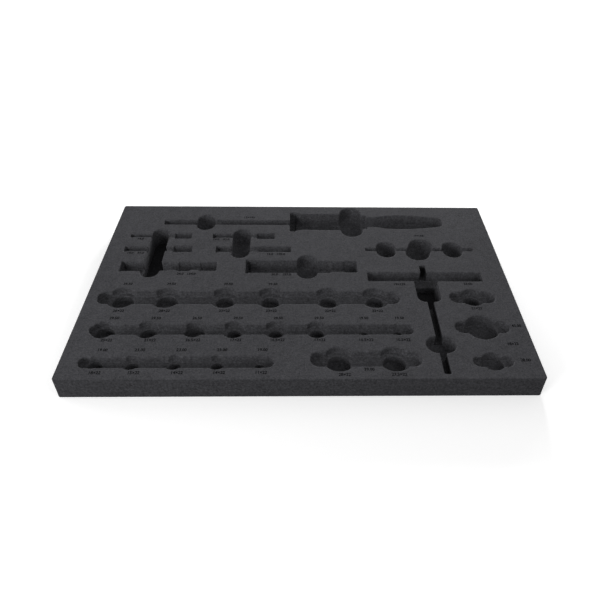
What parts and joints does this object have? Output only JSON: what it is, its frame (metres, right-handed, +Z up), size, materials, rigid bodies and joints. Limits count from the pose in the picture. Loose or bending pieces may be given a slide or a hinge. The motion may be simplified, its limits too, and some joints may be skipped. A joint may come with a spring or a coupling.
{
  "type": "foam tool tray insert",
  "caption": "Dark grey foam insert for a tool drawer, with milled beds for a puller set, standing sockets and shanks, and finger holes to lift them.",
  "frame": {"origin": "under the middle of the insert, on the surface it rests on", "axes": "+X along the drawer front to the right, +Y towards the back of the drawer, +Z up"},
  "size_m": [0.564, 0.364, 0.03],
  "materials": {
    "milled_foam": "matte closed-cell foam, dark grey",
    "base_foam": "matte closed-cell foam with a smooth skin, dark grey"
  },
  "bodies": {
    "root": {"foam_body": "milled_foam", "base_sheet": "base_foam"}
  },
  "joints": []
}
